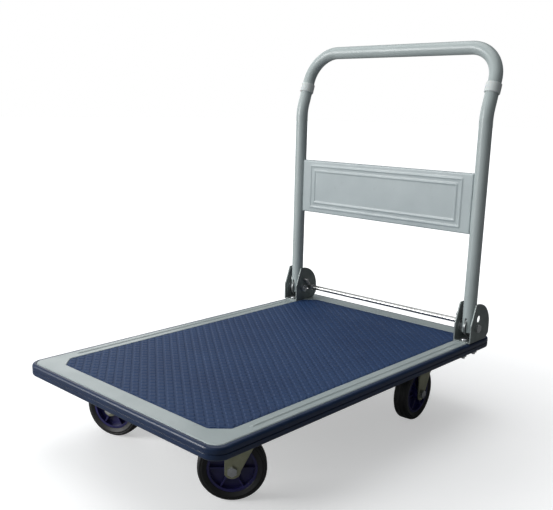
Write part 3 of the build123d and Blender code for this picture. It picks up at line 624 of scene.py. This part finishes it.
def pressed_frame(inset_y, inset_z):
    """Ridge round a rectangle: a raised cosine of the distance from the rectangle's line."""
    reach_y = np.abs(grid_y) - (panel_half[0] - inset_y)
    reach_z = np.abs(grid_z) - (panel_half[1] - inset_z)
    outside = np.hypot(np.maximum(reach_y, 0), np.maximum(reach_z, 0))
    distance = np.where(np.maximum(reach_y, reach_z) > 0, outside, -np.maximum(reach_y, reach_z))
    return 0.5 * (1 + np.cos(pi * np.clip(distance / panel_ridge_half, 0, 1)))


ridges = np.maximum(
    pressed_frame(panel_inset[0], panel_inset[1]),
    pressed_frame(panel_inset[0] + panel_second, panel_inset[1] + panel_second),
)
panel_x = panel_face_x - behind + panel_ridge * ridges * (behind == 0)
panel_points = np.stack([panel_x, grid_y + panel_mid_y, grid_z + panel_mid_z], -1).reshape(-1, 3)


def grid_faces(rows, columns):
    """Quads of a grid of points stored row by row."""
    corner = (np.arange(rows - 1)[:, None] * columns + np.arange(columns - 1)[None, :]).ravel()
    return np.c_[corner, corner + columns, corner + columns + 1, corner + 1]


panel_mesh = raw_mesh("handle_panel_pressed", panel_points, grid_faces(len(across), len(up)), True)
panel_enamel = enamel(
    "panel_enamel",
    paint=(0.45, 0.51, 0.515),
    shade=(0.40, 0.455, 0.465),
    edge_radius=0.001,
    peel=0.00003,
    rough=(0.3, 0.42),
)
panel_mesh.materials.append(panel_enamel)
panel = place_piece("handle_panel_pressed", panel_mesh, "handle", "panel_paint", "handle_panel")
wall = panel.modifiers.new("sheet", "SOLIDIFY")
wall.thickness = panel_sheet
wall.offset = -1

# ---- lock bar and its springs --------------------------------------------------------------------
# Bright drawn bar through both brackets, pulled back by hand. A coil spring by each bracket draws
# it into the cam plates' notches: nearly close-wound, with a hook round the bar and one round a post.
bar_steel, tree, shader = finish_of("bar_steel", Metallic=1.0, Anisotropic=0.4)
place = wire_up(tree, "ShaderNodeTexCoord").outputs["Object"]
draw_lines = noise(tree, place, scale=300, rough=0.6, stretch=(1, 0.02, 1))
tarnish = noise(tree, place, scale=18, detail=5, rough=0.65)
tint = ramp(tree, tarnish, (0.3, (0.62, 0.62, 0.61)), (0.75, (0.42, 0.42, 0.40)))
tree.links.new(tint, shader.inputs["Base Color"])
tree.links.new(ramp(tree, tarnish, (0.3, 0.22), (0.7, 0.4)), shader.inputs["Roughness"])
tree.links.new(bump(tree, draw_lines, distance=0.00004, strength=0.5), shader.inputs["Normal"])
dress(bar_steel, "lock_bar")

bar_lo, bar_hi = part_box("lock_bar")
bar_at = np.array([(bar_lo[0] + bar_hi[0]) / 2, 0, (bar_lo[2] + bar_hi[2]) / 2])
bar_radius = (bar_hi[0] - bar_lo[0]) / 2
post_lo, post_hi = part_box("spring_posts")
post_at = np.array([(post_lo[0] + post_hi[0]) / 2, 0, (post_lo[2] + post_hi[2]) / 2])
post_radius = 0.003
wire_radius = 0.0006
coil_radius = 0.0029
coil_pitch = 2.1 * wire_radius
coil_off_centre = 0.001
hook_gap = 0.0002
low_sweep = (250, 20, 22)
high_sweep = (160, -70, 18)


def spring_line(low, high, turns=15, per_turn=20):
    """Centre line of the wire: hook round the low pin, a helix along the line of pull, and a hook
    round the high pin. A hook is an arc about its pin's axis, joined to the helix by a short leg."""
    length = np.linalg.norm(high - low)
    pull = (high - low) / length
    sideways = np.array([0.0, 1.0, 0.0])
    third = np.cross(pull, sideways)
    low_round = bar_radius + wire_radius + hook_gap
    high_round = post_radius + wire_radius + hook_gap
    coil_length = turns * coil_pitch
    start = (low_round + length - high_round - coil_length) / 2 + coil_off_centre

    def hook(pin, reach, sweep):
        """Arc about a pin; sweep is its first and last angle in degrees and its number of points."""
        swing = np.linspace(radians(sweep[0]), radians(sweep[1]), sweep[2])[:, None]
        return pin + reach * (np.cos(swing) * pull + np.sin(swing) * third)

    angle = np.linspace(0, 2 * pi * turns, turns * per_turn)[:, None]
    along = start + coil_length * angle / (2 * pi * turns)
    coil = low + pull * along + coil_radius * (np.cos(angle) * third + np.sin(angle) * sideways)
    return np.vstack([hook(low, low_round, low_sweep), coil, hook(high, high_round, high_sweep)])


def wire_mesh(name, line, radius, sides=8):
    """Round wire along a line of points, closed at both ends."""
    curve = bpy.data.curves.new(name, "CURVE")
    curve.dimensions = "3D"
    curve.bevel_depth = radius
    curve.bevel_resolution = sides // 4
    curve.use_fill_caps = True
    spline = curve.splines.new("POLY")
    spline.points.add(len(line) - 1)
    spline.points.foreach_set("co", np.c_[line, np.ones(len(line))].ravel())
    holder = bpy.data.objects.new(name, curve)
    mesh = bpy.data.meshes.new_from_object(holder)
    bpy.data.objects.remove(holder)
    mesh.polygons.foreach_set("use_smooth", [True] * len(mesh.polygons))
    return mesh


spring_steel, tree, shader = finish_of("spring_steel", Metallic=1.0)
place = wire_up(tree, "ShaderNodeTexCoord").outputs["Object"]
oil = noise(tree, place, scale=60, detail=4)
tint = ramp(tree, oil, (0.3, (0.55, 0.55, 0.54)), (0.7, (0.36, 0.36, 0.35)))
tree.links.new(tint, shader.inputs["Base Color"])
tree.links.new(ramp(tree, oil, (0.3, 0.25), (0.7, 0.45)), shader.inputs["Roughness"])
for side_name in ("left", "right"):
    spring_lo, spring_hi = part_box(f"lock_spring_{side_name}")
    shift = np.array([0, (spring_lo[1] + spring_hi[1]) / 2, 0])
    low, high = bar_at + shift, post_at + shift
    mesh = wire_mesh(f"lock_spring_coil_{side_name}", spring_line(low, high), wire_radius)
    mesh.materials.append(spring_steel)
    coil = place_piece(mesh.name, mesh, None, "bright_steel", f"lock_spring_{side_name}")
    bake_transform(coil)

# ---- casters: top plates and forks ---------------------------------------------------------------
# Pressed steel with a yellow-passivated zinc finish that has dulled to a mottled olive. A fork is
# one bent sheet, drilled for the kingpin and the axle, with a turned race on its crown in which
# the bearing balls run under the top plate.
caster_zinc = plated(
    "caster_zinc",
    dark=(0.27, 0.275, 0.18),
    light=(0.40, 0.40, 0.29),
    rubbed=(0.50, 0.50, 0.41),
    rough=(0.32, 0.5),
    edge_radius=0.0012,
    blotch=26,
    metallic=0.7,
)
dress(caster_zinc, *[n for n in nodes if n.startswith("caster_plate")])
fork_sheet = 0.0035
fork_half_gap = 0.0198
foot_radius = 0.016
foot_end = 0.0159
front_reach = 0.014
knee = (0.048, 0.040)
straight_up = 0.044
crown_radius = 0.036
crown_up = 0.078
shoulder_bend = 0.014
crown_bend = 0.0055
corner_round = 0.010
bend_steps = 7
fork_rows_apart = 0.0016
fork_columns = 13
race_rise = 0.0072
race_floor = 0.004
race_wide = (0.0203, 0.0228, 0.0317)
race_turns = 72
kingpin_hole = 0.0063
axle_hole = 0.0051
edge_bevel = 0.0004
sharp_above = 60


def bent_line(corners, radii, spacing):
    """Open line with its inner corners rounded: at each corner the arc's centre is one radius to
    the side that the line turns to, and the straight runs are divided to about the spacing."""
    line = [corners[0]]
    for before, here, after, radius in zip(corners, corners[1:], corners[2:], radii):
        coming = (here - before) / np.linalg.norm(here - before)
        going = (after - here) / np.linalg.norm(after - here)
        left = np.array([-coming[1], coming[0]])
        turn = np.arctan2(left @ going, coming @ going)
        way = np.sign(turn)
        centre = here - coming * radius * np.tan(abs(turn) / 2) + way * radius * left
        swing = np.linspace(0, abs(turn), bend_steps)[:, None]
        line += list(centre + radius * (coming * np.sin(swing) - way * left * np.cos(swing)))
    line.append(corners[-1])
    divided = []
    for here, there in zip(line, line[1:]):
        count = max(1, round(np.linalg.norm(there - here) / spacing))
        divided += list(here + (there - here) * np.linspace(0, 1, count, endpoint=False)[:, None])
    return np.array([*divided, corners[-1]])


def rounded_off(distance, limit, radius):
    """How far an edge falls back within one radius of a limit, as a quarter circle does."""
    past = np.clip(distance - (limit - radius), 0, radius)
    return radius - np.sqrt(radius**2 - past**2)


def fork_skin(axle, ahead, across, trail):
    """Outer face of the fork: its line seen end-on, up one side, over the crown and down the
    other, carried from the rear edge to the front edge, both of which depend on the height."""
    half = fork_half_gap + fork_sheet
    rise = np.array([[half, -foot_end], [half, straight_up], [crown_radius, crown_up]])
    corners = np.vstack([rise, rise[::-1] * (-1, 1)])
    bends = (shoulder_bend, crown_bend, crown_bend, shoulder_bend)
    line = bent_line(corners, bends, fork_rows_apart)
    off, height = np.abs(line[:, 0]), line[:, 1]
    round_foot = np.sqrt(np.maximum(foot_radius**2 - np.minimum(height, 0) ** 2, 0))
    front = np.minimum(front_reach, round_foot) - rounded_off(off, crown_radius, corner_round / 2)
    back_at = (0, knee[0], crown_up)
    back = np.interp(height, back_at, (foot_radius, knee[1], trail + crown_radius))
    back = np.where(height < 0, round_foot, back) - rounded_off(off, crown_radius, corner_round)
    share = np.linspace(0, 1, fork_columns)[None, :]
    along = (-back[:, None] * (1 - share) + front[:, None] * share)[:, :, None]
    points = axle + line[:, :1, None] * across + height[:, None, None] * (0, 0, 1) + along * ahead
    return points.reshape(-1, 3), grid_faces(len(line), fork_columns)


def lathe(profile, centre, axle, turns):
    """Closed ring: a closed profile of (radius, offset along the axle) carried round the axle."""
    axle = axle / np.linalg.norm(axle)
    first = np.cross(np.eye(3)[np.argmin(np.abs(axle))], axle)
    first /= np.linalg.norm(first)
    angle = np.linspace(0, 2 * pi, turns, endpoint=False)[:, None, None]
    spoke = np.cos(angle) * first + np.sin(angle) * np.cross(axle, first)
    points = centre + profile[None, :, :1] * spoke + profile[None, :, 1:] * axle
    count = len(profile)
    ring, spot = np.meshgrid(np.arange(turns), np.arange(count), indexing="ij")
    here, there = ring * count, (ring + 1) % turns * count
    after = (spot + 1) % count
    faces = np.stack([here + spot, there + spot, there + after, here + after], -1).reshape(-1, 4)
    return points.reshape(-1, 3), faces


def outward(mesh):
    """Turn every face of a closed mesh outwards."""
    shape = bmesh.new()
    shape.from_mesh(mesh)
    bmesh.ops.recalc_face_normals(shape, faces=shape.faces[:])
    shape.to_mesh(mesh)
    shape.free()
    return mesh


def hole_bit(start, end, radius, sides=48):
    """Closed round bar from one point to another: a circle about the line at each end."""
    along = (end - start) / np.linalg.norm(end - start)
    first = np.cross(np.eye(3)[np.argmin(np.abs(along))], along)
    first /= np.linalg.norm(first)
    angle = np.linspace(0, 2 * pi, sides, endpoint=False)[:, None]
    rim = radius * (np.cos(angle) * first + np.sin(angle) * np.cross(along, first))
    points, faces = stacked_rings([start + rim, end + rim])
    return outward(raw_mesh("hole_bit", points, [*faces, list(range(sides))[::-1]]))


def drilled(piece, *bits):
    """Work a piece's modifiers into its mesh, and cut away what lies inside each bit: a hole's
    rim, like any edge that turns by more than the sharp angle, is shaded sharp."""
    holders = []
    for bit in bits:
        holder = bpy.data.objects.new("hole_bit", bit)
        scene.collection.objects.link(holder)
        holders.append(holder)
        cut = piece.modifiers.new("hole", "BOOLEAN")
        cut.operation = "DIFFERENCE"
        cut.solver = "EXACT"
        cut.object = holder
    finished = piece.evaluated_get(bpy.context.evaluated_depsgraph_get())
    solid_sheet, mesh = piece.data, bpy.data.meshes.new_from_object(finished)
    mesh.set_sharp_from_angle(angle=radians(sharp_above))
    piece.modifiers.clear()
    piece.data = mesh
    name = solid_sheet.name
    bpy.data.meshes.remove(solid_sheet)
    mesh.name = name
    for holder in holders:
        bpy.data.objects.remove(holder)


joints = {j["child"]: j for j in frame["joints"]}
corners_of_deck = ("front_left", "front_right", "rear_left", "rear_right")
for corner in corners_of_deck:
    kingpin = np.array(joints[f"swivel_{corner}"]["pos_m"], float)
    wheel_joint = joints[f"wheel_{corner}"]
    axle, across = np.array(wheel_joint["pos_m"], float), np.array(wheel_joint["axis"], float)
    ahead = np.cross(across, (0, 0, 1))
    points, faces = fork_skin(axle, ahead, across, (axle - kingpin) @ ahead)
    fork = place_piece(
        f"fork_pressed_{corner}",
        raw_mesh(f"fork_pressed_{corner}", points, faces, True),
        f"swivel_{corner}",
        "caster_zinc",
        f"fork_{corner}",
    )
    fork.data.materials.append(caster_zinc)
    wall = fork.modifiers.new("sheet", "SOLIDIFY")
    wall.thickness = fork_sheet
    wall.offset = -1
    eased = fork.modifiers.new("edges", "BEVEL")
    eased.width = edge_bevel
    eased.segments = 2
    eased.limit_method = "ANGLE"
    crown = np.array([*kingpin[:2], axle[2] + crown_up])
    drilled(
        fork,
        hole_bit(crown - (0, 0, 2 * fork_sheet), crown + (0, 0, fork_sheet), kingpin_hole),
        hole_bit(axle - 2 * fork_half_gap * across, axle + 2 * fork_half_gap * across, axle_hole),
    )
    inner, groove, outer = race_wide
    base = [[inner, 0], [outer, 0], [outer, race_floor], [groove, race_floor]]
    race = np.array([*base, [groove, race_rise], [inner, race_rise]])
    points, faces = lathe(race, crown, np.array([0.0, 0, 1]), race_turns)
    ring = outward(raw_mesh(f"fork_race_{corner}", points, faces))
    ring.materials.append(caster_zinc)
    place_piece(ring.name, ring, f"swivel_{corner}", "caster_zinc")

# ---- wheels --------------------------------------------------------------------------------------
# Indigo moulded plastic centre with ribs, and a black rubber tyre moulded on to it. The tyre has
# a soft sheen, a faint grey bloom and a fine parting rib round the tread.
core_plastic, tree, shader = finish_of("core_plastic", IOR=1.48, Coat_Weight=0.2, Coat_Roughness=0.2)
place = wire_up(tree, "ShaderNodeTexCoord").outputs["Object"]
swirl = noise(tree, place, scale=30, detail=4)
tint = ramp(tree, swirl, (0.3, (0.013, 0.012, 0.075)), (0.7, (0.022, 0.019, 0.12)))
tree.links.new(tint, shader.inputs["Base Color"])
tree.links.new(ramp(tree, swirl, (0.3, 0.28), (0.7, 0.42)), shader.inputs["Roughness"])
rounded, edges = eased_edges(tree, radius=0.001)
texture = noise(tree, place, scale=600, detail=2)
texture = bump(tree, texture, distance=0.00004, strength=0.4, under=rounded)
tree.links.new(texture, shader.inputs["Normal"])

tyre_rubber, tree, shader = finish_of("tyre_rubber", IOR=1.5, Sheen_Weight=0.05)
place = wire_up(tree, "ShaderNodeTexCoord").outputs["Object"]
bloom = noise(tree, place, scale=28, detail=5, rough=0.65)
tint = ramp(tree, bloom, (0.3, (0.006, 0.006, 0.007)), (0.75, (0.014, 0.014, 0.015)))
tree.links.new(tint, shader.inputs["Base Color"])
tree.links.new(ramp(tree, bloom, (0.3, 0.42), (0.7, 0.62)), shader.inputs["Roughness"])
pores = noise(tree, place, scale=800, rough=0.6)
tree.links.new(bump(tree, pores, distance=0.00008, strength=0.5), shader.inputs["Normal"])
tyre_turns = 96
tyre_depth = 0.018
tyre_half = 0.016
shoulder = 0.006
shoulder_steps = 8
flat_margin = 0.001
rib_rise = 0.0003
rib_half = (0.0006, 0.0003)
wall_set_back = 0.0010
wall_ring_half = (0.0025, 0.0018)
bore_ease = 0.0012


def tyre_profile(radius, bore, half):
    """Tyre section from the tread's middle round to its bore, and back mirrored: parting rib, flat
    tread, quarter-round shoulder, side wall with a raised ring half way up, eased bore."""
    turn = np.linspace(0, pi / 2, shoulder_steps)
    tread, wall = radius - rib_rise, half - wall_set_back
    round_off = np.c_[
        radius - shoulder + (shoulder - rib_rise) * np.cos(turn),
        half - shoulder + shoulder * np.sin(turn),
    ]
    middle = (radius + bore) / 2
    foot_half, top_half = wall_ring_half
    one = np.array([
        [radius, rib_half[1]],
        [tread, rib_half[0]],
        [tread, half - shoulder - flat_margin],
        *round_off,
        [radius - shoulder - flat_margin, wall],
        [middle + foot_half, wall],
        [middle + top_half, half],
        [middle - top_half, half],
        [middle - foot_half, wall],
        [bore + bore_ease, wall],
        [bore, wall - bore_ease],
    ])
    return np.vstack([one, one[::-1] * (1, -1)])


for corner in corners_of_deck:
    dress(core_plastic, f"wheel_core_{corner}")
    tyre_lo, tyre_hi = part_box(f"tyre_{corner}")
    centre = (np.array(tyre_lo) + np.array(tyre_hi)) / 2
    radius = (tyre_hi[2] - tyre_lo[2]) / 2
    profile = tyre_profile(radius, radius - tyre_depth, tyre_half)
    across = np.array(joints[f"wheel_{corner}"]["axis"], float)
    points, faces = lathe(profile, centre, across, tyre_turns)
    mesh = outward(raw_mesh(f"tyre_moulded_{corner}", points, faces, True))
    mesh.materials.append(tyre_rubber)
    place_piece(mesh.name, mesh, f"wheel_{corner}", "tyre", f"tyre_{corner}")
